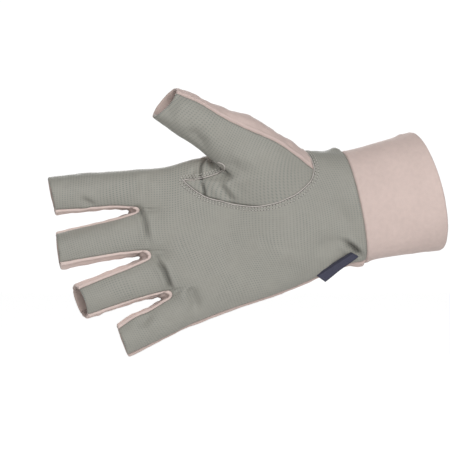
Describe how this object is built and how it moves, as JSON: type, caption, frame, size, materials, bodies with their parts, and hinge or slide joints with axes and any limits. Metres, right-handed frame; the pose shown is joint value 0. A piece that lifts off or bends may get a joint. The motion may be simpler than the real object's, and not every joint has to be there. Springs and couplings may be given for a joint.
{
  "type": "sun glove",
  "caption": "Fingerless sun glove in its worn shape: synthetic leather palm with a set-in thumb, stretch knit back and finger sides, open finger stalls and a forearm cuff.",
  "frame": {"origin": "centre of the cuff's open end, where the forearm goes in", "axes": "+X from the fingers to the forearm, +Y from the palm side to the back of the hand, +Z to the thumb side"},
  "size_m": [0.2143, 0.0605, 0.1434],
  "materials": {
    "palm_leather": "matt, with a fine dotted emboss",
    "stretch_knit": "matt stretch knit",
    "label_cloth": "woven, matt"
  },
  "bodies": {
    "root": {"palm_panel": "palm_leather", "thumb_front": "palm_leather", "back_panel": "stretch_knit", "thumb_back": "stretch_knit", "cuff": "stretch_knit", "fourchette_index_middle": "stretch_knit", "fourchette_middle_ring": "stretch_knit", "fourchette_ring_little": "stretch_knit", "side_label": "label_cloth"}
  },
  "joints": []
}
